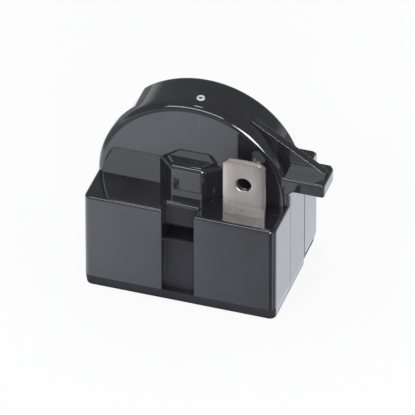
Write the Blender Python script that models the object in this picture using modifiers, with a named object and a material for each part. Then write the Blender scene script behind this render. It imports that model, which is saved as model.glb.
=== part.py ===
"""PTC start relay for a refrigerator compressor: moulded housing, rear cover and the metal parts inside.

Frame: X across the relay, Y from the front face to the rear, Z up. The origin is the middle of the base.
Every depth below is measured back from the front faces of the two blocks.
"""
import math

import bmesh
import bpy
from mathutils import Matrix, Vector

MM = 0.001

# Base
BASE_WIDTH = 28.8 * MM
BASE_DEPTH = 20.4 * MM
BASE_HEIGHT = 16.2 * MM
EDGE_RADIUS = 0.5 * MM
BAND_HEIGHT = 2.0 * MM
BAND_TAPER = 0.4 * MM
WALL = 1.3 * MM

# Clearances between the pieces
PARTING_GAP = 0.3 * MM
SEAT_GAP = 0.2 * MM
CONTACT_GAP = 0.15 * MM
TAB_CLEARANCE = 0.1 * MM
PILL_CLEARANCE = 0.4 * MM

# Recess between the two blocks
RECESS_WIDTH = 4.8 * MM
RECESS_X = -0.2 * MM
RECESS_WALL = 1.2 * MM
LEDGE_HEIGHT = 10.1 * MM
LEDGE_SETBACK = 1.6 * MM
SLOT_TOP = 12.4 * MM
SLOT_WALL = 1.7 * MM
STEP_SETBACK = 2.3 * MM
STEP_EDGE = 0.3 * MM

# Pillar on the face of the drum
PILLAR_REACH = 2.25 * MM
PILLAR_HEIGHT = 5.1 * MM
PILLAR_EDGE = 0.4 * MM

# Drum, which stands on the base's top with its axis in it, this far behind the middle of the base
DRUM_OFFSET = 0.05 * MM
DRUM_RADIUS = 14.3 * MM
DRUM_FRONT_EDGE = 1.1 * MM
DRUM_REAR_EDGE = 0.9 * MM
DRUM_WALL = 2.2 * MM
DRUM_REAR_INSET = 0.1 * MM
DRUM_STEPS = 96
RIM_DEPTH = 2.2 * MM
FLAT_ANGLE = math.radians(152)
FLAT_CUT = 1.0 * MM

# Gate mark on top of the drum
GATE_X = 0.5 * MM
GATE_SETBACK = 3.0 * MM
GATE_RADIUS = 0.65 * MM
GATE_HEIGHT = 0.15 * MM
GATE_EDGE = 0.15 * MM
GATE_DIMPLE_RADIUS = 0.3 * MM

# Ear on the right side
EAR_SETBACK = 0.15 * MM
EAR_REACH = 5.1 * MM
EAR_RISE = 2.7 * MM
EAR_THICKNESS = 2.2 * MM
EAR_LENGTH = 4.8 * MM
EAR_EDGE = 0.25 * MM
EAR_FILLET = 1.0 * MM
GUSSET_SETBACK = 1.75 * MM
GUSSET_THICKNESS = 2.0 * MM
GUSSET_ANGLE = math.radians(57)
GUSSET_TIP = 0.55 * MM
LUG_REACH = 2.0 * MM
LUG_THICKNESS = 1.4 * MM
LUG_LENGTH = 1.5 * MM

# Quick-connect tab and the strip that it is folded from
TAB_WIDTH = 6.3 * MM
TAB_THICKNESS = 0.8 * MM
TAB_X = 8.9 * MM
TAB_SETBACK = 2.55 * MM
TAB_LENGTH = 10.0 * MM
TAB_CHAMFER = 0.9 * MM
TAB_BEVEL = 0.2 * MM
TAB_HOLE_RADIUS = 1.12 * MM
TAB_HOLE_DROP = 4.4 * MM
SHOULDER_WIDTH = 7.6 * MM
SHOULDER_HEIGHT = 1.6 * MM
STRIP_WIDTH = 3.8 * MM
STRIP_BEND = 1.4 * MM
BEND_CUTS = 6

# Pin sockets
SOCKET_X = 5.75 * MM
SOCKET_HEIGHT = 8.0 * MM
SOCKET_BORE = 1.65 * MM
SOCKET_SHEET = 0.5 * MM
SOCKET_LENGTH = 4.2 * MM
SOCKET_SLIT = 0.9 * MM
CLIP_SHEET = 0.4 * MM
CLIP_WIDTH = 2.4 * MM
CLIP_OPENING = math.radians(84)
PIN_HOLE_RADIUS = 1.9 * MM
PIN_HOLE_LEAD = 0.8 * MM

# Resistor pill and its contact springs
PILL_RADIUS = 8.7 * MM
PILL_THICKNESS = 2.6 * MM
PILL_EDGE = 0.3 * MM
SPRING_SPACE = 1.25 * MM
SPRING_SHEET = 0.3 * MM
SPRING_TAIL = 3.0 * MM
HUB_RADIUS = 2.4 * MM
FINGER_WIDTH = 2.2 * MM
FINGER_REACH = 7.2 * MM
FINGER_CONTACT = 5.8 * MM
FINGER_TURN_BACK = 0.25 * MM
FINGER_ANGLES = (35, 125, 215)
FINGER_CUTS = 9
RIB_ANGLES = (0, 90, 180)
RIB_WIDTH = 1.4 * MM
CRADLE_WIDTH = 3.2 * MM
CRADLE_LENGTH = 2.0 * MM

# Rivets through the springs and the strips
RIVET_X = 6.0 * MM
RIVET_REACH = 2.35 * MM
RIVET_RADIUS = 0.75 * MM
RIVET_HEAD_RADIUS = 1.25 * MM
RIVET_HEAD = 0.5 * MM

# Ends of the strips, and the rests of the rear cover that carry them
STRIP_OVERHANG = 2.4 * MM
REST_LENGTH = 1.2 * MM
REST_CLEARANCE = 0.45 * MM

# Sizes that follow from the ones above
FRONT = -BASE_DEPTH / 2
REAR = BASE_DEPTH / 2
SIDE = BASE_WIDTH / 2
DRUM_Z = BASE_HEIGHT
RIGHT_HAND = 1
LEFT_HAND = -1
FLOOR_TOP = BAND_HEIGHT
STRIP_TOP = SOCKET_HEIGHT - SOCKET_BORE - SOCKET_SHEET - SEAT_GAP
STRIP_BOTTOM = STRIP_TOP - TAB_THICKNESS
DISC_THICKNESS = WALL
DRUM_LENGTH = WALL + SPRING_SPACE + PILL_THICKNESS + SPRING_SPACE + DISC_THICKNESS
PILL_DEPTH = BASE_DEPTH / 2 + DRUM_OFFSET
FACE_DEPTH = PILL_DEPTH - DRUM_LENGTH / 2
PARTING_DEPTH = PILL_DEPTH + DRUM_LENGTH / 2
CAVITY_FRONT = FACE_DEPTH + WALL
DISC_FRONT = PARTING_DEPTH - DISC_THICKNESS
SLOT_DEPTH = FACE_DEPTH + SEAT_GAP / 2 - SLOT_WALL
PILLAR_SETBACK = FACE_DEPTH - PILLAR_REACH
PILLAR_TOP = BASE_HEIGHT + PILLAR_HEIGHT
EAR_BOTTOM = BASE_HEIGHT + EAR_RISE
EAR_TOP = EAR_BOTTOM + EAR_THICKNESS
EAR_TIP = SIDE + EAR_REACH
TAB_TOP = BASE_HEIGHT + TAB_LENGTH
TAB_HOLE_HEIGHT = TAB_TOP - TAB_HOLE_DROP
WELL_RADIUS = DRUM_RADIUS - DRUM_WALL
SOCKET_END = BASE_DEPTH - WALL - SEAT_GAP
SPRING_DEPTH = CAVITY_FRONT + SEAT_GAP + SPRING_SHEET / 2
FINGER_RISE = SPRING_SPACE - SEAT_GAP - CONTACT_GAP - SPRING_SHEET
FRONT_RIVET_DEPTH = SPRING_DEPTH + RIVET_REACH
REAR_RIVET_DEPTH = 2 * PILL_DEPTH - FRONT_RIVET_DEPTH

# How deep a joined piece is sunk into its neighbour, how far a cutter stands out, and what is past all else
EMBED = WALL / 2
OVERSHOOT = 1.0 * MM
FAR = 2 * BASE_WIDTH
WELD_DISTANCE = 2e-4 * MM


def at(depth):
    """Y of a plane that lies this far behind the front faces."""
    return FRONT + depth


def new_collection(name):
    collection = bpy.data.collections.new(name)
    bpy.context.scene.collection.children.link(collection)
    return collection


def new_material(name, colour, roughness, metallic):
    material = bpy.data.materials.new(name)
    material.use_nodes = True
    shader = material.node_tree.nodes["Principled BSDF"]
    shader.inputs["Base Color"].default_value = (*colour, 1.0)
    shader.inputs["Roughness"].default_value = roughness
    shader.inputs["Metallic"].default_value = metallic
    return material


def new_object(name, mesh):
    obj = bpy.data.objects.new(name, mesh)
    bpy.context.scene.collection.objects.link(obj)
    return obj


def object_from(name, bm):
    """Closed body from a bmesh, with its doubles merged and its faces turned outwards."""
    bmesh.ops.remove_doubles(bm, verts=bm.verts, dist=1e-6)
    bmesh.ops.recalc_face_normals(bm, faces=bm.faces)
    mesh = bpy.data.meshes.new(name)
    bm.to_mesh(mesh)
    bm.free()
    return new_object(name, mesh)


def apply_modifiers(obj):
    depsgraph = bpy.context.evaluated_depsgraph_get()
    mesh = bpy.data.meshes.new_from_object(obj.evaluated_get(depsgraph))
    obj.modifiers.clear()
    obj.data = mesh
    return obj


def weld(obj):
    """Merge the vertices that a Boolean leaves within a rounding error of each other."""
    bm = bmesh.new()
    bm.from_mesh(obj.data)
    bmesh.ops.remove_doubles(bm, verts=bm.verts, dist=WELD_DISTANCE)
    bm.to_mesh(obj.data)
    bm.free()
    return obj


def combine(target, tools, operation):
    """Boolean of the target with all the tools at once; the tools are used up."""
    together = new_collection(operation.lower())
    for tool in tools:
        together.objects.link(tool)
    modifier = target.modifiers.new(operation.lower(), "BOOLEAN")
    modifier.operation = operation
    modifier.solver = "EXACT"
    modifier.operand_type = "COLLECTION"
    modifier.collection = together
    weld(apply_modifiers(target))
    for tool in tools:
        bpy.data.objects.remove(tool)
    bpy.data.collections.remove(together)
    return target


def join(target, *tools):
    return combine(target, tools, "UNION")


def cut(target, *tools):
    return combine(target, tools, "DIFFERENCE")


def round_edges(obj, radius, segments=3, where=None):
    """Round the sharp edges, or only those whose two ends both pass the given test.

    Where three rounded edges meet, the bevel leaves warped faces, which are split so that all are flat.
    """
    bm = bmesh.new()
    bm.from_mesh(obj.data)
    sharp = [edge for edge in bm.edges if edge.calc_face_angle(0.0) > math.radians(35)]
    if where:
        sharp = [edge for edge in sharp if all(where(vert.co) for vert in edge.verts)]
    bmesh.ops.bevel(bm, geom=sharp, offset=radius, segments=segments, profile=0.5,
                    affect="EDGES", offset_type="OFFSET", clamp_overlap=True)
    bmesh.ops.connect_verts_nonplanar(bm, angle_limit=math.radians(0.02), faces=bm.faces)
    bm.to_mesh(obj.data)
    bm.free()
    return obj


def cuboid(low, high):
    """Bmesh of a box between two corners."""
    bm = bmesh.new()
    bmesh.ops.create_cube(bm, size=1.0)
    size = Matrix.Diagonal(Vector(high) - Vector(low)).to_4x4()
    middle = Matrix.Translation((Vector(high) + Vector(low)) / 2)
    bmesh.ops.transform(bm, matrix=middle @ size, verts=bm.verts)
    return bm


def box(name, low, high):
    return object_from(name, cuboid(low, high))


def cylinder(name, radius, low, high, centre, steps=32, far_radius=None):
    """Cylinder, or cone, along Y from depth low to depth high, centred on (x, z)."""
    bm = bmesh.new()
    bmesh.ops.create_cone(bm, cap_ends=True, segments=steps, radius1=radius,
                          radius2=radius if far_radius is None else far_radius, depth=high - low)
    turn = Matrix.Rotation(math.radians(-90), 4, "X")
    place = Matrix.Translation((centre[0], at((low + high) / 2), centre[1]))
    bmesh.ops.transform(bm, matrix=place @ turn, verts=bm.verts)
    return object_from(name, bm)


def extruded(name, outline, low, high, axis):
    """Flat outline, a filled 2D curve, extruded along one axis from low to high.

    The outline's two numbers are (x, y) for axis Z, (x, z) for axis Y and (y, z) for axis X.
    """
    curve = bpy.data.curves.new(name, "CURVE")
    curve.dimensions = "2D"
    curve.fill_mode = "BOTH"
    curve.extrude = (high - low) / 2
    spline = curve.splines.new("POLY")
    spline.points.add(len(outline) - 1)
    for point, (u, v) in zip(spline.points, outline):
        point.co = (u, v, 0.0, 1.0)
    spline.use_cyclic_u = True
    source = new_object(name + "_outline", curve)
    depsgraph = bpy.context.evaluated_depsgraph_get()
    bm = bmesh.new()
    bm.from_mesh(bpy.data.meshes.new_from_object(source.evaluated_get(depsgraph)))
    bpy.data.objects.remove(source)
    bmesh.ops.remove_doubles(bm, verts=bm.verts, dist=1e-6)
    bmesh.ops.dissolve_limit(bm, angle_limit=math.radians(0.5), verts=bm.verts, edges=bm.edges)
    middle = (low + high) / 2
    rows = {
        "X": ((0, 0, 1, middle), (1, 0, 0, 0), (0, 1, 0, 0), (0, 0, 0, 1)),
        "Y": ((1, 0, 0, 0), (0, 0, 1, middle), (0, 1, 0, 0), (0, 0, 0, 1)),
        "Z": ((1, 0, 0, 0), (0, 1, 0, 0), (0, 0, 1, middle), (0, 0, 0, 1)),
    }[axis]
    bmesh.ops.transform(bm, matrix=Matrix(rows), verts=bm.verts)
    return object_from(name, bm)


def turned(name, profile, steps):
    """Profile of (radius, height) points turned about Z with a Screw modifier."""
    bm = bmesh.new()
    verts = [bm.verts.new((radius, 0.0, height)) for radius, height in profile]
    for first, second in zip(verts, verts[1:]):
        bm.edges.new((first, second))
    mesh = bpy.data.meshes.new(name)
    bm.to_mesh(mesh)
    bm.free()
    obj = new_object(name, mesh)
    screw = obj.modifiers.new("turn", "SCREW")
    screw.steps = steps
    screw.render_steps = steps
    screw.use_merge_vertices = True
    screw.merge_threshold = 1e-6
    apply_modifiers(obj)
    bm = bmesh.new()
    bm.from_mesh(obj.data)
    bpy.data.objects.remove(obj)
    return object_from(name, bm)


def place(obj, matrix):
    obj.data.transform(matrix)
    if matrix.determinant() < 0:
        obj.data.flip_normals()
    return obj


def arc(centre, radius, start, end, steps):
    """Points on an arc, angles in degrees."""
    return [(centre[0] + radius * math.cos(math.radians(start + (end - start) * i / steps)),
             centre[1] + radius * math.sin(math.radians(start + (end - start) * i / steps)))
            for i in range(steps + 1)]


def tapered_block(name, low, high, tapered_sides):
    """Box whose lowest band leans in on the named sides, with its edges rounded."""
    bm = cuboid(low, high)
    middle = (Vector(high) + Vector(low)) / 2
    geometry = bm.verts[:] + bm.edges[:] + bm.faces[:]
    bmesh.ops.bisect_plane(bm, geom=geometry, plane_co=(0, 0, low[2] + BAND_HEIGHT), plane_no=(0, 0, 1))
    for vert in bm.verts:
        if vert.co.z < low[2] + BAND_HEIGHT / 2:
            if "left" in tapered_sides and vert.co.x < middle.x:
                vert.co.x += BAND_TAPER
            if "right" in tapered_sides and vert.co.x > middle.x:
                vert.co.x -= BAND_TAPER
            if "front" in tapered_sides and vert.co.y < middle.y:
                vert.co.y += BAND_TAPER
            if "rear" in tapered_sides and vert.co.y > middle.y:
                vert.co.y -= BAND_TAPER
    return round_edges(object_from(name, bm), EDGE_RADIUS, segments=4)


def drum():
    """Turned drum with rounded front and rear rims, and a flat on its upper left behind the front rim."""
    length = DRUM_LENGTH - DRUM_REAR_INSET
    front = arc((DRUM_RADIUS - DRUM_FRONT_EDGE, DRUM_FRONT_EDGE), DRUM_FRONT_EDGE, -90, 0, 6)
    rear = arc((DRUM_RADIUS - DRUM_REAR_EDGE, length - DRUM_REAR_EDGE), DRUM_REAR_EDGE, 0, 90, 5)
    obj = turned("drum", [(0, 0), *front, *rear, (0, length)], DRUM_STEPS)
    centre = Matrix.Translation((0, at(FACE_DEPTH), DRUM_Z))
    place(obj, centre @ Matrix.Rotation(math.radians(-90), 4, "X"))
    flat = box("flat_cutter", (DRUM_RADIUS - FLAT_CUT, at(FACE_DEPTH + RIM_DEPTH), -DRUM_RADIUS),
               (DRUM_RADIUS + OVERSHOOT, at(PARTING_DEPTH) + OVERSHOOT, DRUM_RADIUS))
    place(flat, Matrix.Translation((0, 0, DRUM_Z)) @ Matrix.Rotation(-FLAT_ANGLE, 4, "Y"))
    return join(cut(obj, flat), gate_mark())


def gate_mark():
    """Low collar with a dimple, left where the plastic ran into the mould."""
    rim = GATE_RADIUS - GATE_EDGE
    profile = [(0, -EMBED), (GATE_RADIUS, -EMBED), (GATE_RADIUS, 0), (rim, GATE_HEIGHT),
               (GATE_DIMPLE_RADIUS, GATE_HEIGHT), (0, GATE_HEIGHT - GATE_DIMPLE_RADIUS / 2)]
    top = math.sqrt(DRUM_RADIUS ** 2 - GATE_X ** 2)
    mark = turned("gate_mark", profile, 16)
    return place(mark, Matrix.Translation((GATE_X, at(FACE_DEPTH + GATE_SETBACK), DRUM_Z + top)))


def pillar():
    """Trapezoid pillar that spreads at 45 degrees towards the face of the drum."""
    spread = FACE_DEPTH - PILLAR_SETBACK + PILLAR_EDGE
    half = RECESS_WIDTH / 2
    front = at(PILLAR_SETBACK)
    rear = front + spread
    outline = [(RECESS_X - half, front), (RECESS_X + half, front),
               (RECESS_X + half + spread, rear), (RECESS_X + half + spread, rear + PILLAR_EDGE),
               (RECESS_X - half - spread, rear + PILLAR_EDGE), (RECESS_X - half - spread, rear)]
    obj = extruded("pillar", outline, BASE_HEIGHT - OVERSHOOT, PILLAR_TOP, "Z")
    return round_edges(obj, PILLAR_EDGE, segments=4)


def ear_flange():
    """Flat top of the latch ear, with a fillet under it."""
    root = SIDE - 2 * WALL
    under = arc((SIDE + EAR_FILLET, EAR_BOTTOM - EAR_FILLET), EAR_FILLET, 170, 90, 5)
    end = [(EAR_TIP, EAR_BOTTOM + EAR_EDGE), (EAR_TIP, EAR_TOP), (root, EAR_TOP)]
    outline = [(root, under[0][1]), *under, *end]
    flange = extruded("flange", outline, at(FACE_DEPTH + EAR_SETBACK), at(FACE_DEPTH + EAR_LENGTH), "Y")
    fillet_end = SIDE + EAR_FILLET / 2
    return round_edges(flange, EAR_EDGE, where=lambda co: co.x > fillet_end or co.z > EAR_TOP - EAR_EDGE)


def gusset():
    """Web of the ear, from the drum's upper right down to the tip of the flange."""
    root = SIDE - WALL
    crest = DRUM_RADIUS + EAR_EDGE
    start = (crest * math.cos(GUSSET_ANGLE), DRUM_Z + crest * math.sin(GUSSET_ANGLE))
    foot = EAR_TIP - 2 * EAR_EDGE
    outline = [start, (foot, EAR_TOP + GUSSET_TIP), (foot, EAR_TOP - 3 * EAR_EDGE),
               (root, EAR_BOTTOM + EAR_EDGE), (start[0] - WALL, start[1] - 2 * WALL)]
    low = FACE_DEPTH + GUSSET_SETBACK
    return round_edges(extruded("gusset", outline, at(low), at(low + GUSSET_THICKNESS), "Y"), EAR_EDGE)


def lug():
    """Short lug of the ear behind the flange, cut off at the parting."""
    top = EAR_TOP + 2 * EAR_EDGE
    low = (SIDE - WALL - EMBED, at(PARTING_DEPTH - LUG_LENGTH), top - LUG_THICKNESS)
    return round_edges(box("lug", low, (SIDE + LUG_REACH, at(PARTING_DEPTH) + OVERSHOOT, top)), EAR_EDGE)


def shoulder():
    """Upright side wall between the top of the base and the ear."""
    obj = box("shoulder", (SIDE - 2 * WALL, at(FACE_DEPTH + EAR_SETBACK / 2), BASE_HEIGHT / 2),
              (SIDE - EAR_SETBACK / 5, at(PARTING_DEPTH) + OVERSHOOT, (EAR_BOTTOM + EAR_TOP) / 2))
    return round_edges(obj, DRUM_FRONT_EDGE, segments=5, where=lambda co: co.y < at(FACE_DEPTH + WALL))


def recess_cutters():
    """Channel down the front: leaning ledge below, deep slot, and the step under the pillar."""
    left = RECESS_X - RECESS_WIDTH / 2
    right = RECESS_X + RECESS_WIDTH / 2
    outside = FRONT - OVERSHOOT
    lean = (LEDGE_SETBACK - BAND_TAPER) / LEDGE_HEIGHT
    foot = at(BAND_TAPER - lean * OVERSHOOT)
    brow = arc((at(LEDGE_SETBACK + EDGE_RADIUS), LEDGE_HEIGHT - EDGE_RADIUS), EDGE_RADIUS, 175, 80, 4)
    above = LEDGE_HEIGHT + EDGE_RADIUS
    wedge = [(outside, -OVERSHOOT), (foot, -OVERSHOOT), *brow, (brow[-1][0], above), (outside, above)]
    channel = extruded("channel", wedge, left, right, "X")
    slot = box("slot", (left, outside, LEDGE_HEIGHT), (right, at(SLOT_DEPTH), SLOT_TOP))
    edge = arc((at(STEP_SETBACK + STEP_EDGE), BASE_HEIGHT - STEP_EDGE), STEP_EDGE, 180, 80, 4)
    low, high = SLOT_TOP - EDGE_RADIUS, BASE_HEIGHT + OVERSHOOT
    notch = [(outside, low), (at(STEP_SETBACK), low), *edge, (edge[-1][0], high), (outside, high)]
    step = extruded("step", notch, left, right, "X")
    return channel, slot, step


def chamber_cutters():
    """Inside of the housing: a chamber in each block, the space behind them and the pill's round well."""
    roof = BASE_HEIGHT - WALL
    inner = SIDE - WALL
    back = at(FACE_DEPTH + SEAT_GAP)
    open_end = at(PARTING_DEPTH) + OVERSHOOT
    recess_left = RECESS_X - RECESS_WIDTH / 2 - RECESS_WALL
    recess_right = RECESS_X + RECESS_WIDTH / 2 + RECESS_WALL
    left = box("left_chamber", (-inner, at(WALL), WALL), (recess_left, back, roof))
    right = box("right_chamber", (recess_right, at(WALL), WALL), (inner, back, roof))
    middle_low = (recess_left - SEAT_GAP, at(LEDGE_SETBACK + RECESS_WALL), WALL + SEAT_GAP)
    middle = box("middle_chamber", middle_low, (recess_right + SEAT_GAP, back, LEDGE_HEIGHT - RECESS_WALL))
    behind = box("rear_chamber", (-inner, at(FACE_DEPTH + SEAT_GAP / 2), FLOOR_TOP), (inner, open_end, roof))
    well = cylinder("well", WELL_RADIUS, CAVITY_FRONT, PARTING_DEPTH + OVERSHOOT, (0, DRUM_Z), DRUM_STEPS)
    floor_space = box("floor_space", (-SIDE - OVERSHOOT, at(FACE_DEPTH), -OVERSHOOT),
                      (SIDE + OVERSHOOT, open_end, FLOOR_TOP + PARTING_GAP))
    return left, right, middle, behind, well, floor_space


def pill_ribs():
    """Radial ribs of the well that hold the pill at its edge."""
    ribs = []
    for number, angle in enumerate(RIB_ANGLES):
        rib = box("rib_%d" % number, (PILL_RADIUS + PILL_CLEARANCE, at(FACE_DEPTH + EMBED), -RIB_WIDTH / 2),
                  (WELL_RADIUS + EMBED, at(PILL_DEPTH + PILL_THICKNESS / 2), RIB_WIDTH / 2))
        place(rib, Matrix.Translation((0, 0, DRUM_Z)) @ Matrix.Rotation(-math.radians(angle), 4, "Y"))
        ribs.append(rib)
    return ribs


def housing():
    """Front shell: the two blocks, the drum with the well for the pill, the pillar and the ear."""
    far = at(PARTING_DEPTH) + 2 * OVERSHOOT
    body = tapered_block("housing", (-SIDE, FRONT, 0), (SIDE, far, BASE_HEIGHT), ("front", "left", "right"))
    join(body, drum(), shoulder(), ear_flange(), gusset(), lug(), pillar())
    cut(body, *recess_cutters())
    cut(body, *chamber_cutters())
    join(body, *pill_ribs())
    half = TAB_WIDTH / 2 + TAB_CLEARANCE
    tab_slot = box("tab_slot", (TAB_X - half, at(TAB_SETBACK - TAB_CLEARANCE), BASE_HEIGHT - 2 * WALL),
                   (TAB_X + half, at(TAB_SETBACK + TAB_THICKNESS + TAB_CLEARANCE), BASE_HEIGHT + OVERSHOOT))
    beyond = box("beyond", (-FAR, at(PARTING_DEPTH), -FAR), (FAR, FAR, FAR))
    return cut(body, tab_slot, beyond)


def cover_lip(hand):
    """Upright lip that stands inside the housing's side wall."""
    inner = SIDE - WALL
    outer = inner - PARTING_GAP
    face = at(PARTING_DEPTH + PARTING_GAP)
    front = at(PARTING_DEPTH - 2 * WALL)
    step = inner + EMBED
    outline = [(outer - WALL, front), (outer, front), (outer, face + PARTING_GAP),
               (step, face + PARTING_GAP), (step, REAR - EMBED), (outer - WALL, REAR - EMBED)]
    lip = extruded("lip", outline, FLOOR_TOP - WALL, BASE_HEIGHT - 3 * WALL, "Z")
    return place(lip, Matrix.Scale(hand, 4, (1, 0, 0)))


def cover_cradle():
    """Post on the floor plate whose hollowed top carries the pill."""
    half = CRADLE_WIDTH / 2
    reach = PILL_RADIUS + PILL_CLEARANCE / 2
    spread = math.degrees(math.asin(half / reach))
    hollow = arc((0, DRUM_Z), reach, 270 + spread, 270 - spread, 6)
    outline = [(-half, EMBED), (half, EMBED), *hollow]
    low = PILL_DEPTH - CRADLE_LENGTH / 2
    return extruded("cradle", outline, at(low), at(low + CRADLE_LENGTH), "Y")


def strip_rest(hand, depth):
    """Short post on the floor plate under a strip."""
    half = STRIP_WIDTH / 3
    low = (hand * SOCKET_X - half, at(depth), EMBED)
    return box("rest", low, (hand * SOCKET_X + half, at(depth + REST_LENGTH), STRIP_BOTTOM - SEAT_GAP))


def pin_hole_cutters(hand):
    """Hole for one of the compressor's pins, and the cone that leads the pin in."""
    centre = (hand * SOCKET_X, SOCKET_HEIGHT)
    outside = BASE_DEPTH + OVERSHOOT
    hole = cylinder("pin_hole", PIN_HOLE_RADIUS, BASE_DEPTH - 2 * WALL, outside, centre)
    tip = SEAT_GAP / 2
    lead = cylinder("pin_lead", PIN_HOLE_RADIUS - tip, BASE_DEPTH - PIN_HOLE_LEAD - tip, outside, centre,
                    far_radius=PIN_HOLE_RADIUS + PIN_HOLE_LEAD + OVERSHOOT)
    return hole, lead


def rear_cover():
    """Rear shell: pin wall, floor plate that runs forward under the housing, and the well's closing disc."""
    face = PARTING_DEPTH + PARTING_GAP
    plate_front = FACE_DEPTH + PARTING_GAP
    low = (-SIDE, at(plate_front) - 2 * OVERSHOOT, 0)
    body = tapered_block("rear_cover", low, (SIDE, REAR, BASE_HEIGHT), ("left", "right", "rear"))
    ahead = box("ahead", (-FAR, -FAR, -FAR), (FAR, at(plate_front), FAR))
    above = box("above", (-FAR, -FAR, FLOOR_TOP), (FAR, at(face), FAR))
    cut(body, ahead, above)
    join(body, cylinder("disc", WELL_RADIUS - PARTING_GAP, DISC_FRONT, face + EMBED, (0, DRUM_Z), DRUM_STEPS))
    inner = SIDE - WALL
    roof = BASE_HEIGHT - WALL
    cut(body, box("cavity", (-inner, at(DISC_FRONT) - OVERSHOOT, WALL), (inner, REAR - WALL, roof)))
    divider = box("divider", (-WALL / 2, at(DISC_FRONT), EMBED), (WALL / 2, REAR - EMBED, roof + EMBED))
    join(body, cover_cradle(), divider)
    for hand, rivet_depth in ((LEFT_HAND, REAR_RIVET_DEPTH), (RIGHT_HAND, FRONT_RIVET_DEPTH)):
        front_rest = rivet_depth - RIVET_HEAD_RADIUS - REST_CLEARANCE - REST_LENGTH
        rear_rest = SOCKET_END - SOCKET_LENGTH / 2
        join(body, cover_lip(hand), strip_rest(hand, front_rest), strip_rest(hand, rear_rest))
        cut(body, *pin_hole_cutters(hand))
    return body


def ptc_pill():
    """Ceramic disc with its rims broken."""
    half = PILL_THICKNESS / 2
    rim = PILL_RADIUS - PILL_EDGE
    profile = [(0, -half), (rim, -half), (PILL_RADIUS, -half + PILL_EDGE),
               (PILL_RADIUS, half - PILL_EDGE), (rim, half), (0, half)]
    centre = Matrix.Translation((0, at(PILL_DEPTH), DRUM_Z))
    return place(turned("ptc_pill", profile, 64), centre @ Matrix.Rotation(math.radians(90), 4, "X"))


def blank_height(depth, plane, fold_z, radius):
    """Height in the flat blank of what the fold brings to this depth."""
    return fold_z - radius * math.pi / 2 - (at(depth) - plane - radius)


def fold_back(obj, plane, fold_z, radius):
    """Bend a flat blank whose mid-plane is Y = plane: what lies below fold_z is wound back by a quarter turn.

    The blank's length along the bend is kept, so the quarter turn uses up radius * pi / 2 of it.
    """
    bend = radius * math.pi / 2
    bm = bmesh.new()
    bm.from_mesh(obj.data)
    for i in range(BEND_CUTS + 1):
        level = (0, 0, fold_z - bend * i / BEND_CUTS)
        geometry = bm.verts[:] + bm.edges[:] + bm.faces[:]
        bmesh.ops.bisect_plane(bm, geom=geometry, plane_co=level, plane_no=(0, 0, 1), dist=1e-9)
    for vert in bm.verts:
        run = fold_z - vert.co.z
        if run <= 0:
            continue
        reach = radius + plane - vert.co.y
        turn = min(run, bend) / radius
        vert.co.y = plane + radius - reach * math.cos(turn) + max(run - bend, 0)
        vert.co.z = fold_z - reach * math.sin(turn)
    bm.to_mesh(obj.data)
    bm.free()
    return obj


def finger_rise(reach):
    """Height of a finger above its hub: a smooth rise to the pill, then a turned-back tip."""
    slope = (reach - HUB_RADIUS) / (FINGER_CONTACT - HUB_RADIUS)
    if slope <= 1.0:
        return FINGER_RISE * (1 - math.cos(math.pi * max(slope, 0.0))) / 2
    return FINGER_RISE - FINGER_TURN_BACK * (reach - FINGER_CONTACT) / (FINGER_REACH - FINGER_CONTACT)


def spring_outline(end):
    """Flat blank of a contact spring: a round hub, three fingers and a tail that runs down to the end."""
    half = SPRING_TAIL / 2
    outline = []
    edge = math.degrees(math.asin(FINGER_WIDTH / 2 / HUB_RADIUS))
    for angle in FINGER_ANGLES:
        outline += arc((0, DRUM_Z), HUB_RADIUS, angle - 90 + edge, angle - edge, 3)
        along = Vector((math.cos(math.radians(angle)), math.sin(math.radians(angle))))
        across = Vector((-along.y, along.x)) * FINGER_WIDTH / 2
        for side in (-1, 1):
            tip = Vector((0, DRUM_Z)) + along * FINGER_REACH + across * side
            outline.append((tip.x, tip.y))
    outline += arc((0, DRUM_Z), HUB_RADIUS, FINGER_ANGLES[-1] + edge, FINGER_ANGLES[-1] + 90 - edge, 3)
    elbow = DRUM_Z - FINGER_REACH - half
    left, right = RIVET_X - half, RIVET_X + half
    return [*outline, (left, elbow), (left, end), (right, end), (right, elbow + half)]


def contact_spring(name, hand):
    """Three sprung fingers on a hub, and a tail that is folded onto the strip below and riveted there.

    It is modelled in front of the pill, with its tail to the right, and turned about for the rear one.
    """
    plane = at(SPRING_DEPTH)
    radius = 2 * SPRING_SHEET
    fold_z = STRIP_TOP + CONTACT_GAP + SPRING_SHEET / 2 + radius
    outline = spring_outline(blank_height(FRONT_RIVET_DEPTH + SPRING_TAIL / 2, plane, fold_z, radius))
    sheet = extruded(name, outline, plane - SPRING_SHEET / 2, plane + SPRING_SHEET / 2, "Y")
    bm = bmesh.new()
    bm.from_mesh(sheet.data)
    hub = Vector((0, plane, DRUM_Z))
    for angle in FINGER_ANGLES:
        along = Vector((math.cos(math.radians(angle)), 0, math.sin(math.radians(angle))))
        across = Vector((-along.z, 0, along.x))
        for i in range(FINGER_CUTS):
            reach = HUB_RADIUS + (FINGER_REACH - HUB_RADIUS) * (i + 0.5) / FINGER_CUTS
            geometry = bm.verts[:] + bm.edges[:] + bm.faces[:]
            bmesh.ops.bisect_plane(bm, geom=geometry, plane_co=hub + along * reach, plane_no=along, dist=1e-9)
        for vert in bm.verts:
            reach = (vert.co - hub).dot(along)
            if reach > HUB_RADIUS and abs((vert.co - hub).dot(across)) < FINGER_WIDTH:
                vert.co.y += finger_rise(reach)
    bm.to_mesh(sheet.data)
    bm.free()
    fold_back(sheet, plane, fold_z, radius)
    cut(sheet, rivet_hole(FRONT_RIVET_DEPTH))
    if hand == LEFT_HAND:
        middle = at(PILL_DEPTH)
        turn_about = Matrix.Translation((0, middle, 0)) @ Matrix.Rotation(math.pi, 4, "Z")
        place(sheet, turn_about @ Matrix.Translation((0, -middle, 0)))
    return sheet


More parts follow.
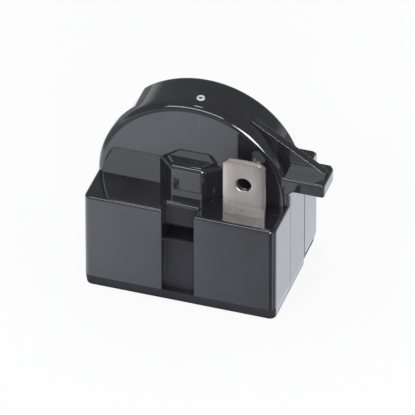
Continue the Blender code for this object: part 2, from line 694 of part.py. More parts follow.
def rivet_hole(depth):
    bm = bmesh.new()
    bmesh.ops.create_cone(bm, cap_ends=True, segments=24, radius1=RIVET_RADIUS + CONTACT_GAP,
                          radius2=RIVET_RADIUS + CONTACT_GAP, depth=4 * TAB_THICKNESS)
    bmesh.ops.translate(bm, vec=(RIVET_X, at(depth), STRIP_TOP), verts=bm.verts)
    return object_from("rivet_hole", bm)


def rivet(name, hand, depth):
    """Shank through the strip and the spring's foot, with a domed head above and a flat one below."""
    low = STRIP_BOTTOM - CONTACT_GAP
    high = STRIP_TOP + 2 * CONTACT_GAP + SPRING_SHEET
    dome = arc((0, high - RIVET_HEAD), 2 * RIVET_HEAD, 30, 90, 4)
    scale = RIVET_HEAD_RADIUS / dome[0][0]
    crown = [(radius * scale, height) for radius, height in dome]
    profile = [(0, low - RIVET_HEAD), (RIVET_HEAD_RADIUS, low - RIVET_HEAD), (RIVET_HEAD_RADIUS, low),
               (RIVET_RADIUS, low), (RIVET_RADIUS, high), (RIVET_HEAD_RADIUS, high), *crown[1:]]
    obj = turned(name, profile, 24)
    return place(obj, Matrix.Translation((hand * RIVET_X, at(depth), 0)))


def tab_terminal():
    """Quick-connect tab and its strip: one flat blank, folded back under the pill to the run socket."""
    half = TAB_WIDTH / 2
    neck = STRIP_WIDTH / 2
    shoulder_half = SHOULDER_WIDTH / 2
    shoulder_top = BASE_HEIGHT - WALL - SEAT_GAP
    shoulder_low = shoulder_top - SHOULDER_HEIGHT
    middle = at(TAB_SETBACK + TAB_THICKNESS / 2)
    radius = STRIP_BEND
    fold_z = STRIP_TOP - TAB_THICKNESS / 2 + radius
    joggle = FRONT_RIVET_DEPTH - STRIP_OVERHANG
    stations = (SOCKET_END - SEAT_GAP, PARTING_DEPTH, FRONT_RIVET_DEPTH, joggle, joggle - STRIP_OVERHANG)
    end, behind, joint, ahead, foot = [blank_height(depth, middle, fold_z, radius) for depth in stations]
    side = [(half - TAB_CHAMFER, TAB_TOP), (half, TAB_TOP - TAB_CHAMFER), (half, shoulder_top),
            (shoulder_half, shoulder_top), (shoulder_half, shoulder_low), (neck, shoulder_low - neck / 2)]
    right = [(TAB_X + x, z) for x, z in side]
    left = [(TAB_X - x, z) for x, z in reversed(side)]
    outline = [*right, (TAB_X + neck, joint), (SOCKET_X + neck, behind), (SOCKET_X + neck, end),
               (SOCKET_X - neck, end), (SOCKET_X - neck, ahead), (TAB_X - neck, foot), *left]
    obj = extruded("tab_terminal", outline, middle - TAB_THICKNESS / 2, middle + TAB_THICKNESS / 2, "Y")
    round_edges(obj, TAB_BEVEL, segments=1, where=lambda co: co.z > shoulder_top + WALL)
    fold_back(obj, middle, fold_z, radius)
    centre = (TAB_X, TAB_HOLE_HEIGHT)
    rear = TAB_SETBACK + TAB_THICKNESS
    hole = cylinder("tab_hole", TAB_HOLE_RADIUS, TAB_SETBACK - OVERSHOOT, rear + OVERSHOOT, centre)
    return cut(obj, hole, rivet_hole(FRONT_RIVET_DEPTH))


def start_terminal():
    """Flat strip under the start socket, with the rear spring riveted to its front end."""
    neck = STRIP_WIDTH / 2
    near = REAR_RIVET_DEPTH - STRIP_OVERHANG
    far = SOCKET_END - SEAT_GAP
    outline = [(SOCKET_X - neck, at(near + neck / 2)), (SOCKET_X - neck / 2, at(near)),
               (SOCKET_X + neck / 2, at(near)), (SOCKET_X + neck, at(near + neck / 2)),
               (SOCKET_X + neck, at(far)), (SOCKET_X - neck, at(far))]
    obj = extruded("start_terminal", outline, STRIP_BOTTOM, STRIP_TOP, "Z")
    cut(obj, rivet_hole(REAR_RIVET_DEPTH))
    return place(obj, Matrix.Scale(-1, 4, (1, 0, 0)))


def open_ring(name, inner, outer, opening, toward, low, high, hand):
    """Sheet rolled into a ring about a socket's axis, with an opening that faces the angle toward."""
    centre = (hand * SOCKET_X, SOCKET_HEIGHT)
    start = toward + math.degrees(opening) / 2
    end = toward + 360 - math.degrees(opening) / 2
    outline = arc(centre, outer, start, end, 32) + arc(centre, inner, end, start, 32)
    return extruded(name, outline, at(low), at(high), "Y")


def pin_socket(name, hand):
    """Brass socket, rolled up from below, with its slit on top."""
    outer = SOCKET_BORE + SOCKET_SHEET
    opening = SOCKET_SLIT / SOCKET_BORE
    return open_ring(name, SOCKET_BORE, outer, opening, 90, SOCKET_END - SOCKET_LENGTH, SOCKET_END, hand)


def socket_clip(name, hand):
    """Steel clip over the socket's slit, open below where the socket sits on its strip."""
    inner = SOCKET_BORE + SOCKET_SHEET + CONTACT_GAP
    low = SOCKET_END - (SOCKET_LENGTH + CLIP_WIDTH) / 2
    return open_ring(name, inner, inner + CLIP_SHEET, CLIP_OPENING, 270, low, low + CLIP_WIDTH, hand)


def main():
    for obj in list(bpy.data.objects):
        bpy.data.objects.remove(obj)
    black = new_material("black_plastic", (0.012, 0.012, 0.014), 0.18, 0.0)
    ceramic = new_material("silvered_ceramic", (0.42, 0.41, 0.39), 0.55, 0.3)
    tinned = new_material("tinned_brass", (0.72, 0.69, 0.64), 0.32, 1.0)
    bronze = new_material("spring_bronze", (0.62, 0.42, 0.24), 0.35, 1.0)
    brass = new_material("socket_brass", (0.75, 0.58, 0.28), 0.3, 1.0)
    steel = new_material("clip_steel", (0.55, 0.55, 0.56), 0.3, 1.0)
    pieces = [
        (housing(), black),
        (rear_cover(), black),
        (ptc_pill(), ceramic),
        (contact_spring("front_spring", RIGHT_HAND), bronze),
        (contact_spring("rear_spring", LEFT_HAND), bronze),
        (tab_terminal(), tinned),
        (start_terminal(), tinned),
        (pin_socket("run_socket", RIGHT_HAND), brass),
        (pin_socket("start_socket", LEFT_HAND), brass),
        (socket_clip("run_socket_clip", RIGHT_HAND), steel),
        (socket_clip("start_socket_clip", LEFT_HAND), steel),
        (rivet("run_rivet", RIGHT_HAND, FRONT_RIVET_DEPTH), steel),
        (rivet("start_rivet", LEFT_HAND, REAR_RIVET_DEPTH), steel),
    ]
    relay = new_collection("start_relay")
    for obj, material in pieces:
        bpy.context.scene.collection.objects.unlink(obj)
        relay.objects.link(obj)
        obj.data.materials.clear()
        obj.data.materials.append(material)
        obj.data.shade_smooth()
        obj.data.set_sharp_from_angle(angle=math.radians(30))


main()
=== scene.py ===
"""Compressor start relay: the visual model around the packed CAD frame, laid out as a Blender add-on."""
import math

import bmesh
import bpy
import numpy as np
from bpy.props import FloatProperty, FloatVectorProperty, IntProperty, PointerProperty
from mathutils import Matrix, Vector


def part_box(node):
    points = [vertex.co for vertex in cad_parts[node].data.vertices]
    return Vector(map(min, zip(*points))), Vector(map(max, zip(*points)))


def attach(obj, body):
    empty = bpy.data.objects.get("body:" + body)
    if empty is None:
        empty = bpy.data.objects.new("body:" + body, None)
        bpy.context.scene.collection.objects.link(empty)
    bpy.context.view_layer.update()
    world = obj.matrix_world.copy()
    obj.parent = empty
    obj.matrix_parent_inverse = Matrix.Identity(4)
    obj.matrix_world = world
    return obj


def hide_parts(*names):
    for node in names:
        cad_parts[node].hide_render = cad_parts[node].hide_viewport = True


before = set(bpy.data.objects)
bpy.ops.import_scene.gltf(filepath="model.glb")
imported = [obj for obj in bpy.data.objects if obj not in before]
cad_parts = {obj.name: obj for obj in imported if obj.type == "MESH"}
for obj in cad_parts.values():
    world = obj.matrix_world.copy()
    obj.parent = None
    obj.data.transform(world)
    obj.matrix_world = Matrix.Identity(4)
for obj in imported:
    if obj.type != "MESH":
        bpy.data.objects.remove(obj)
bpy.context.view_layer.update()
HOUSING_LOW, HOUSING_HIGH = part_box("housing")
COVER_LOW, COVER_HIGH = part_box("rear_cover")
TAB_LOW, TAB_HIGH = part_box("tab_terminal")

bl_info = {
    "name": "Start Relay",
    "version": (1, 0, 0),
    "blender": (4, 5, 0),
    "location": "View3D > Sidebar > Start Relay",
    "description": "Builds the compressor start relay and its stage",
    "category": "Add Mesh",
}

MM = 0.001


def length(name, description, default):
    """A length that the user can change, in metres."""
    return FloatProperty(name=name, description=description, default=default, subtype="DISTANCE",
                         unit="LENGTH", precision=5)


def size(name, description, millimetres):
    """The same, given here in millimetres."""
    return length(name, description, millimetres * MM)


def bearing(name, description, degrees):
    """An angle that the user can change, given here in degrees."""
    return FloatProperty(name=name, description=description, default=math.radians(degrees),
                         subtype="ANGLE")


def swatch(name, description, default):
    """A colour that the user can change, in linear red, green and blue."""
    return FloatVectorProperty(name=name, description=description, default=default, size=3,
                               min=0.0, max=1.0, subtype="COLOR")


# Sizes and colours

class RelayBaseSizes(bpy.types.PropertyGroup):
    """Sizes of the moulded base."""
    half_width: length("Half width", "From the middle to a side face", COVER_HIGH.x)
    front: length("Front", "Y of the blocks' front faces", HOUSING_LOW.y)
    parting: length("Parting", "Y of the drum's and the lug's rear", HOUSING_HIGH.y - 0.02 * MM)
    height: length("Height", "Height of the blocks", COVER_LOW.z + 16.2 * MM)
    corner_radius: size("Corner radius", "Rounding of the upright front corners", 1.0)
    top_radius: size("Top radius", "Rounding of the top edges", 0.5)
    foot_radius: size("Foot radius", "Rounding of the lowest edges", 0.4)
    band_height: size("Band height", "Height of the leaning band at the foot", 2.0)
    band_taper: size("Band taper", "How far the band leans in at the front", 0.4)
    side_taper: size("Side taper", "How far the band leans in at the sides", 0.1)
    top_fall: bearing("Top fall", "Draft of the top faces towards the rear", 1.0)
    seam: length("Seam", "Y of the base's rear edge at the seam", HOUSING_HIGH.y + 0.02 * MM)
    lip_setback: size("Lip setback", "Depth of the seam's groove", 0.35)
    panel_rise: size("Panel rise", "How far the right side's rear part stands proud", 0.03)
    pin_x: size("Pin X", "X of the ejector pin's mark on the left block", -8.2)
    pin_height: size("Pin height", "Height of the ejector pin's mark", 8.0)
    pin_radius: size("Pin radius", "Radius of the ejector pin's mark", 2.4)


class RelayRecessSizes(bpy.types.PropertyGroup):
    """Sizes of the recess between the two blocks."""
    left: size("Left", "X of the recess's left wall", -2.6)
    right: size("Right", "X of the recess's right wall", 2.2)
    foot_setback: size("Foot setback", "Setback of the rear wall above the band", 1.0)
    ledge_height: size("Ledge height", "Top of the leaning ledge", 10.1)
    ledge_setback: size("Ledge setback", "Setback of the ledge at its top", 1.6)
    slot_top: size("Slot top", "Ceiling of the slot above the ledge", 12.4)
    slot_depth: size("Slot depth", "Depth of the slot", 4.8)
    step_setback: size("Step setback", "Setback of the step under the pillar", 2.3)
    edge_radius: size("Edge radius", "Rounding of the recess's upright edges", 0.15)


class RelayDrumSizes(bpy.types.PropertyGroup):
    """Sizes of the round drum and of the pillar on its face."""
    radius: length("Radius", "Radius of the drum", HOUSING_HIGH.z - 16.2 * MM)
    face: length("Face", "Y of the drum's front face", HOUSING_LOW.y + 6.4 * MM)
    front_edge: size("Front edge", "Rounding of the front rim", 1.1)
    rear_edge: size("Rear edge", "Rounding of the rear rim", 0.9)
    rear_setback: size("Rear setback", "From the drum's rear to the parting", 0.1)
    rim_depth: size("Rim depth", "Depth of the full rim in front of the flat", 2.2)
    flat_cut: size("Flat cut", "Depth of the flat on the upper left", 1.0)
    flat_angle: bearing("Flat angle", "Where the flat lies, from the right", 152)
    pillar_front: length("Pillar front", "Y of the pillar's front face", HOUSING_LOW.y + 4.15 * MM)
    pillar_half: size("Pillar half", "Half the width of the pillar's front", 2.5)
    pillar_spread: size("Pillar spread", "How far each flank spreads to the drum", 2.2)
    pillar_top: size("Pillar top", "Height of the pillar's top", 21.5)
    pillar_edge: size("Pillar edge", "Rounding of the pillar's top edges", 0.75)
    pillar_corner: size("Pillar corner", "Rounding of the pillar's upright edges", 1.3)
    pillar_hood: size("Pillar hood", "Rounding of the pillar's shoulders at the drum", 1.4)
    gate_x: size("Gate X", "X of the gate mark", 0.45)
    gate_setback: size("Gate setback", "From the front to the gate mark", 8.9)


class RelayEarSizes(bpy.types.PropertyGroup):
    """Sizes of the latch ear on the right."""
    reach: length("Reach", "X of the ear's tip", HOUSING_HIGH.x + 0.15 * MM)
    bottom: size("Bottom", "Height of the flange's underside", 18.65)
    thickness: size("Thickness", "Thickness of the flange", 2.3)
    depth: size("Depth", "Depth of the flange from front to rear", 5.2)
    edge: size("Edge", "Rounding of the ear's edges", 0.4)
    tip_corner: size("Tip corner", "Rounding of the tip's rear corner", 0.8)
    fillet: size("Fillet", "Fillet under the flange", 1.0)
    gusset_angle: bearing("Gusset angle", "Where the gusset leaves the drum, from the right", 57)
    gusset_setback: size("Gusset setback", "From the drum's face to the gusset", 2.3)
    gusset_thickness: size("Gusset thickness", "Thickness of the gusset", 1.5)
    gusset_edge: size("Gusset edge", "Rounding of the gusset's edges", 0.25)
    gusset_tip: size("Gusset tip", "Height of the gusset's end above the flange", 0.5)
    lug_reach: size("Lug reach", "From the side to the lug's end", 1.7)
    lug_thickness: size("Lug thickness", "Thickness of the lug", 1.3)
    lug_depth: size("Lug depth", "Depth of the lug in front of the parting", 1.5)


class RelayTabSizes(bpy.types.PropertyGroup):
    """Sizes of the quick-connect tab."""
    middle: size("Middle", "X of the tab's centre line", 8.9)
    width: size("Width", "Width of the tab", 6.3)
    front: length("Front", "Y of the tab's front face", TAB_LOW.y)
    thickness: size("Thickness", "Sheet thickness", 0.8)
    root: size("Root", "Height where the blade meets its strip", 15.0)
    top: length("Top", "Height of the tab's end", TAB_HIGH.z - 0.5 * MM)
    chamfer: size("Chamfer", "Cut corners at the end", 0.9)
    coin_width: size("Coined width", "Width of the coined margin", 0.6)
    coin_depth: size("Coined depth", "Depth of the coined margin at the rim", 0.1)
    lead_height: size("Lead height", "Height of the bevel at the end", 0.4)
    lead_depth: size("Lead depth", "Depth of the bevel at the end, on each face", 0.15)
    hole_height: size("Hole height", "Height of the latch hole", 21.55)
    hole_radius: size("Hole radius", "Radius of the latch hole", 1.1)
    hole_edge: size("Hole edge", "Rolled edge around the hole", 0.2)


class RelayFinishes(bpy.types.PropertyGroup):
    """Colours of the finishes."""
    plastic: swatch("Plastic", "Black moulded plastic", (0.0145, 0.0143, 0.0175))
    tin: swatch("Tin", "Tinned brass of the terminals", (0.81, 0.74, 0.685))
    bronze: swatch("Bronze", "Spring bronze", (0.62, 0.42, 0.24))
    brass: swatch("Brass", "Rolled brass of the sockets", (0.75, 0.58, 0.28))
    steel: swatch("Steel", "Spring steel of the clips and rivets", (0.55, 0.55, 0.56))
    silvering: swatch("Silvering", "Silvered faces of the pill", (0.42, 0.41, 0.39))


class RelayStageSettings(bpy.types.PropertyGroup):
    """View and light."""
    azimuth: bearing("Azimuth", "Camera's turn to the right of the front", 17.9)
    elevation: bearing("Elevation", "Camera's angle above the floor", 37.15)
    distance: length("Distance", "From the camera to the relay", 1.6)
    frame_width: length("Frame width", "Width of the view at the relay", 415 / 6950)
    aim: FloatVectorProperty(name="Aim", description="Point in the middle of the view",
                             subtype="XYZ", unit="LENGTH", default=(0.001024, 0.0, 0.010245))
    floor: swatch("Floor", "Pale floor", (0.93, 0.93, 0.93))
    steps: IntProperty(name="Steps", description="Steps in each rounded edge", default=8, min=2, max=24)


# Surfaces worked out with numpy

def rounded_rings(corners, radii, insets, steps):
    """Closed outlines with rounded corners, one for each ring, as an array of shape (rings, points, 2).

    Each corner moves along its bisector by inset / sin(half angle), inwards on the solid's side. Its
    radius shrinks by the inset on an outer corner and grows by it on an inner one. The arc's direction
    is the slerp of the two unit normals, so its points are centre + radius * direction. Corners and
    radii may also be given ring by ring.
    """
    corners = np.broadcast_to(corners, (len(insets),) + np.shape(corners)[-2:])
    before = np.roll(corners, 1, axis=1) - corners
    after = np.roll(corners, -1, axis=1) - corners
    before /= np.linalg.norm(before, axis=2, keepdims=True)
    after /= np.linalg.norm(after, axis=2, keepdims=True)
    half = np.arccos(np.clip((before * after).sum(axis=2), -1, 1)) / 2
    outer = np.sign(before[..., 1] * after[..., 0] - before[..., 0] * after[..., 1])
    bisector = before + after
    bisector /= np.linalg.norm(bisector, axis=2, keepdims=True)
    inset = np.asarray(insets)[:, None]
    radius = np.maximum(np.broadcast_to(radii, corners.shape[:2]) - outer * inset, 0)
    moved = corners + bisector * (outer * inset / np.sin(half))[..., None]
    centre = moved + bisector * (radius / np.sin(half))[..., None]
    start = before / np.tan(half)[..., None] - bisector / np.sin(half)[..., None]
    end = after / np.tan(half)[..., None] - bisector / np.sin(half)[..., None]
    sweep = (math.pi - 2 * half)[..., None, None]
    share = np.linspace(0, 1, steps + 1)[None, None, :, None]
    direction = np.sin((1 - share) * sweep) * start[..., None, :]
    direction += np.sin(share * sweep) * end[..., None, :]
    direction /= np.sin(sweep)
    points = centre[..., None, :] + radius[..., None, None] * direction
    return points.reshape(len(insets), -1, 2)


def edge_profile(low, high, low_radius, high_radius, steps, between=()):
    """Levels and insets of a wall with a rounded edge at each end, and straight levels between them.

    A rounded edge is a quarter circle: its level is radius * sin(angle) from the circle's middle, and its
    inset is radius * (1 - cos(angle)).
    """
    angle = np.linspace(0, math.pi / 2, steps + 1)
    foot = low + low_radius * (1 - np.sin(angle[::-1]))
    crown = high - high_radius * (1 - np.sin(angle))
    inset = np.concatenate([low_radius * (1 - np.cos(angle[::-1])), np.zeros(len(between)),
                            high_radius * (1 - np.cos(angle))])
    return np.concatenate([foot, between, crown]), inset


def tidy_mesh(name, points, faces, sharp=35):
    """Mesh with its doubles merged, its faces turned outwards, and smooth except at its sharp edges."""
    mesh = bpy.data.meshes.new(name)
    mesh.from_pydata(points.tolist(), [], faces)
    bm = bmesh.new()
    bm.from_mesh(mesh)
    bmesh.ops.remove_doubles(bm, verts=bm.verts, dist=1e-6)
    bmesh.ops.dissolve_degenerate(bm, edges=bm.edges, dist=1e-7)
    bmesh.ops.recalc_face_normals(bm, faces=bm.faces)
    bm.to_mesh(mesh)
    bm.free()
    mesh.shade_smooth()
    mesh.set_sharp_from_angle(angle=math.radians(sharp))
    return mesh


def lean_back(mesh, above, front, angle):
    """Draft of a top: what lies above a height sinks by tan(angle) times its distance behind the front."""
    for vertex in mesh.vertices:
        if vertex.co.z > above:
            vertex.co.z -= math.tan(angle) * (vertex.co.y - front)
    mesh.update()


def grid_faces(rows, columns):
    """Quads between neighbouring rows of points, each row a closed loop."""
    row, column = np.meshgrid(np.arange(rows - 1), np.arange(columns), indexing="ij")
    near = row * columns + column
    beside = row * columns + (column + 1) % columns
    return np.stack([near, beside, beside + columns, near + columns], axis=-1).reshape(-1, 4).tolist()


def level_corners(across, along, levels):
    """Corners ring by ring. Each corner's two numbers are the same at every level, or an array."""
    rows = [[np.broadcast_to(value, levels.shape) for value in row] for row in (across, along)]
    return np.stack([np.stack(row, axis=1) for row in rows], axis=2)


def prism(name, rings, levels, order):
    """Closed solid through the rings, one at each level, with a flat cap at either end.

    order places an outline's two numbers and its level on X, Y and Z, such as (0, 2, 1) for a prism
    along Y.
    """
    count, width = rings.shape[:2]
    height = np.broadcast_to(np.asarray(levels)[:, None, None], (count, width, 1))
    points = np.concatenate([rings, height], axis=2).reshape(-1, 3)[:, order]
    faces = grid_faces(count, width)
    faces.append(list(range(width)))
    faces.append(list(range((count - 1) * width, count * width)))
    return tidy_mesh(name, points, faces)


def rounded_prism(name, outline, low, high, edges, steps):
    """Prism along Y over an outline of (x, z, radius) corners, with its two ends' edges rounded."""
    outline = np.asarray(outline)
    levels, insets = edge_profile(low, high, edges[0], edges[1], steps)
    rings = rounded_rings(outline[:, :2], outline[:, 2], insets, steps)
    return prism(name, rings, levels, (0, 2, 1))


def turned(name, radii, levels, centre, order):
    """Surface of revolution, with a row of radii for each level and a column for each angle.

    Its points are radius * (cos, sin) of the angle, with the level as the third number. order places
    the three on X, Y and Z.
    """
    angle = np.linspace(0, 2 * math.pi, radii.shape[1], endpoint=False)
    along = np.broadcast_to(levels[:, None], radii.shape)
    points = np.stack([radii * np.cos(angle), radii * np.sin(angle), along], axis=-1).reshape(-1, 3)
    return tidy_mesh(name, points[:, order] + centre, grid_faces(*radii.shape))


# Pieces

def show(name, meshes, material, replaced=()):
    """Object of one or more meshes at the origin, with its finish, that rides on the relay's body."""
    mesh = meshes[0]
    if len(meshes) > 1:
        bm = bmesh.new()
        for part in meshes:
            bm.from_mesh(part)
        mesh = bpy.data.meshes.new(name)
        bm.to_mesh(mesh)
        bm.free()
    mesh.name = name
    piece = bpy.data.objects.new(name, mesh)
    bpy.context.scene.collection.objects.link(piece)
    mesh.materials.clear()
    for item in material if isinstance(material, (list, tuple)) else (material,):
        mesh.materials.append(item)
    modifier = piece.modifiers.new("flat faces", "WEIGHTED_NORMAL")
    modifier.keep_sharp = True
    modifier.weight = 100
    if replaced:
        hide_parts(*replaced)
    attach(piece, "root")
    return piece


def merged_copy(node):
    """Mesh of a CAD node with its loose triangles merged."""
    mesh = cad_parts[node].data.copy()
    bm = bmesh.new()
    bm.from_mesh(mesh)
    bmesh.ops.remove_doubles(bm, verts=bm.verts, dist=1e-6)
    bmesh.ops.dissolve_limit(bm, angle_limit=math.radians(0.2), verts=bm.verts, edges=bm.edges)
    bm.to_mesh(mesh)
    bm.free()
    mesh.shade_smooth()
    mesh.set_sharp_from_angle(angle=math.radians(30))
    return mesh


class RELAY_OT_base(bpy.types.Operator):
    """Build the base with the recess between its two blocks"""
    bl_idname = "relay.base"
    bl_label = "Base"

    def execute(self, context):
        base = context.scene.relay_base
        recess = context.scene.relay_recess
        steps = context.scene.relay_stage.steps
        angle = np.linspace(0, math.pi / 2, steps + 1)
        brow_level = recess.ledge_height - base.top_radius * (1 - np.sin(angle))
        brow_depth = recess.ledge_setback + base.top_radius * (1 - np.cos(angle))
        flush = 0.01 * MM
        above_band = base.band_height + 0.05 * MM
        between = [base.band_height, above_band, *brow_level,
                   recess.ledge_height, recess.slot_top, recess.slot_top]
        levels, insets = edge_profile(0, base.height, base.foot_radius, base.top_radius, steps, between)
        share = np.clip(1 - levels / base.band_height, 0, 1)
        # Setback of the recess's rear wall, level by level: flush with the band, leaning in above it
        depths = np.concatenate([base.band_taper * share[:steps + 1] + flush,
                                 [flush, recess.foot_setback], brow_depth, [recess.slot_depth] * 2,
                                 [recess.step_setback] * (steps + 2)])
        side = base.half_width - base.side_taper * share
        front = base.front + base.band_taper * share
        back = base.front + depths
        left, right = recess.left, recess.right
        corners = level_corners([-side, left, left, right, right, side, side, -side],
                                [front, front, back, back, front, front, base.seam, base.seam], levels)
        fine = recess.edge_radius
        radii = np.tile([base.corner_radius, fine, fine / 2, fine / 2,
                         fine, base.corner_radius, fine / 2, fine / 2], (len(levels), 1))
        # The recess has no depth in the band, so its corners stay sharp there
        in_band = steps + 2
        radii[:in_band, 1:5] = 0
        radii[:in_band, 2:4] = -insets[:in_band, None]
        rings = rounded_rings(corners, radii, insets, steps)
        block = prism("block", rings, levels, (0, 1, 2))
        lean_back(block, base.height - base.top_radius - 0.01 * MM, base.front, base.top_fall)
        # Lip behind the seam, so that the groove has one depth all round
        inner = base.half_width - base.lip_setback
        low, high = base.lip_setback, base.height - base.lip_setback
        outline = [(-inner, low, fine), (inner, low, fine), (inner, high, fine), (-inner, high, fine)]
        lip = rounded_prism("lip", outline, base.seam - 0.5 * MM, base.seam + 0.5 * MM, (0, 0), steps)
        piece = show("housing_base", [block, lip], [plastic_finish(), recess_finish()], ("housing",))
        # The front band and the inside of the recess have the eroded finish
        x, y, z = np.array([face.center[:] for face in piece.data.polygons]).T
        band = (z < base.band_height) & (y < base.front + base.corner_radius)
        inside = np.abs(x - (left + right) / 2) < (right - left) / 2 - fine / 2
        inside &= (y < base.front + recess.slot_depth + fine) & (z < base.height - base.top_radius)
        piece.data.polygons.foreach_set("material_index", (band | inside).astype(np.int32))
        return {"FINISHED"}


class RELAY_OT_drum(bpy.types.Operator):
    """Build the drum with its rims, its flat and the gate mark on top"""
    bl_idname = "relay.drum"
    bl_label = "Drum"

    def execute(self, context):
        drum = context.scene.relay_drum
        base = context.scene.relay_base
        steps = context.scene.relay_stage.steps
        drum_steps, mark_steps = 256, 48
        rear = base.parting - drum.rear_setback
        ledge = drum.face + drum.rim_depth
        # Y, and distance inside the full radius, from the front's middle to the rear's middle
        level, inset = edge_profile(drum.face, rear, drum.front_edge, drum.rear_edge, steps, [ledge, ledge])
        level = np.concatenate([[drum.face], level, [rear]])
        inset = np.concatenate([[drum.radius], inset, [drum.radius]])
        # Behind the ledge the flat's distance over the cosine of the angle to its normal limits the radius
        cut_off = np.repeat([0, 1], steps + 3)[:, None]
        turn = np.linspace(0, 2 * math.pi, drum_steps, endpoint=False)
        facing = np.maximum(np.cos(turn - drum.flat_angle), 0.5)
        limit = np.minimum((drum.radius - drum.flat_cut) / facing, drum.radius)
        radii = np.maximum(drum.radius + cut_off * (limit - drum.radius) - inset[:, None], 0)
        shell = turned("housing_drum", radii, level, (0, 0, base.height), (0, 2, 1))
        piece = show("housing_drum", [shell], plastic_finish())

        # Gate mark: a ring that stands on the drum, from its (radius, height) profile. Its pale colour is
        # torn plastic and a painted highlight where the ring glints
        x, y = drum.gate_x, base.front + drum.gate_setback
        top = base.height + math.sqrt(drum.radius ** 2 - x ** 2)
        profile = np.array([(0.27, -0.3), (0.62, -0.3), (0.61, 0.04), (0.57, 0.13), (0.48, 0.18),
                            (0.38, 0.17), (0.31, 0.08), (0.27, -0.02), (0.27, -0.3)]) * MM
        radii = np.tile(profile[:, :1], mark_steps)
        mark = turned("gate_mark", radii, profile[:, 1], (x, y, top), (0, 1, 2))
        piece = show("gate_mark", [mark], gate_torn_and_glint_finish())
        return {"FINISHED"}


class RELAY_OT_pillar(bpy.types.Operator):
    """Build the pillar on the drum's face"""
    bl_idname = "relay.pillar"
    bl_label = "Pillar"

    def execute(self, context):
        drum = context.scene.relay_drum
        recess = context.scene.relay_recess
        base = context.scene.relay_base
        steps = context.scene.relay_stage.steps
        edge, corner, hood = drum.pillar_edge, drum.pillar_corner, drum.pillar_hood
        low, high = base.height - 1.2 * MM, drum.pillar_top
        rise = np.linspace(low, high - hood, 3)[:-1]
        turn = np.linspace(0, math.pi / 2, 2 * steps + 1)
        levels = np.concatenate([rise, high - hood * (1 - np.sin(turn))])
        # Both roundings of the top: the edge's inset, and the shoulders' own larger arc at the drum
        over = np.clip((levels - high + edge) / edge, 0, 1)
        insets = edge * (1 - np.sqrt(1 - over ** 2))
        over = np.clip((levels - high + hood) / hood, 0, 1)
        narrow = (hood - edge) * (1 - np.sqrt(1 - over ** 2))
        middle = (recess.left + recess.right) / 2
        half = drum.pillar_half
        left = middle - half - drum.pillar_spread + narrow
        right = middle + half + drum.pillar_spread - narrow
        front, rear = drum.pillar_front, drum.face
        hidden = rear + 0.9 * MM
        corners = level_corners([middle - half, middle + half, right, right, left, left],
                                [front, front, rear, hidden, hidden, rear], levels)
        tiny = 0.1 * MM
        rings = rounded_rings(corners, [corner, corner, tiny, tiny, tiny, tiny], insets, steps)
        mesh = prism("housing_pillar", rings, levels, (0, 1, 2))
        lean_back(mesh, high - hood - 0.01 * MM, front, base.top_fall)
        piece = show("housing_pillar", [mesh], plastic_finish())
        return {"FINISHED"}


class RELAY_OT_ear(bpy.types.Operator):
    """Build the shoulder, the ear's flange, its gusset and the lug behind"""
    bl_idname = "relay.ear"
    bl_label = "Ear"

    def execute(self, context):
        base = context.scene.relay_base
        drum = context.scene.relay_drum
        ear = context.scene.relay_ear
        steps = context.scene.relay_stage.steps
        side = base.half_width
        tiny = 0.03 * MM
        root = side - 2.6 * MM
        top = ear.bottom + ear.thickness
        front = drum.face + 0.15 * MM
        # Panel: the side's rear part, from the foot up to the ear
        levels, insets = edge_profile(0, top - ear.thickness / 2, base.foot_radius, tiny, steps,
                                      [base.band_height])
        out = side + base.panel_rise - base.side_taper * np.clip(1 - levels / base.band_height, 0, 1)
        ahead = front - 0.07 * MM
        corners = level_corners([root, out, out, root], [ahead, ahead, base.seam, base.seam], levels)
        rings = rounded_rings(corners, [tiny, drum.front_edge, 2 * tiny, tiny], insets, steps)
        panel = prism("panel", rings, levels, (0, 1, 2))
        # Flange: its underside swings out on a fillet, and the tip's rear corner is a quarter circle
        angle = np.radians(np.linspace(170, 90, steps + 1))
        under_x = side + ear.fillet + ear.fillet * np.cos(angle)
        under_z = ear.bottom - ear.fillet + ear.fillet * np.sin(angle)
        rear = front + ear.depth
        between = np.linspace(front + ear.edge, rear - ear.edge / 2, 12)[1:-1]
        levels, insets = edge_profile(front, rear, ear.edge, ear.edge / 2, steps, between)
        beyond = np.clip((levels - rear + ear.tip_corner) / ear.tip_corner, 0, 0.98)
        reach = ear.reach - ear.tip_corner * (1 - np.sqrt(1 - beyond ** 2))
        corners = level_corners([root, root, *under_x, reach, reach],
                                [top, under_z[0], *under_z, ear.bottom, top], levels)
        radii = [ear.edge, tiny, *np.zeros(len(angle)), ear.edge, ear.edge]
        flange = prism("flange", rounded_rings(corners, radii, insets, steps), levels, (0, 2, 1))
        # Gusset: it leaves the drum at its angle and slopes down to the flange's tip
        fine = ear.gusset_edge
        crest = drum.radius + fine
        start_x = crest * math.cos(ear.gusset_angle)
        start_z = base.height + crest * math.sin(ear.gusset_angle)
        tip = ear.reach - 2 * fine
        slope = [(start_x, start_z, fine), (start_x - 1.3 * MM, start_z - 2.6 * MM, fine),
                 (root, ear.bottom + fine, fine), (tip, top - 2 * fine, fine),
                 (tip, top + ear.gusset_tip, fine)]
        low = drum.face + ear.gusset_setback
        gusset = rounded_prism("gusset", slope, low, low + ear.gusset_thickness,
                               (0.4 * fine, 1.4 * fine), steps)
        # Lug: behind the flange, cut off at the parting
        high = top + 0.05 * MM
        low = high - ear.lug_thickness
        tip = side + ear.lug_reach
        outline = [(root, high, fine), (root, low, fine), (tip, low, 0.5 * MM), (tip, high, 0.6 * MM)]
        lug = rounded_prism("lug", outline, base.parting - ear.lug_depth, base.parting,
                            (ear.edge, tiny), steps)
        piece = show("housing_ear", [panel, flange, gusset, lug], plastic_finish())
        return {"FINISHED"}


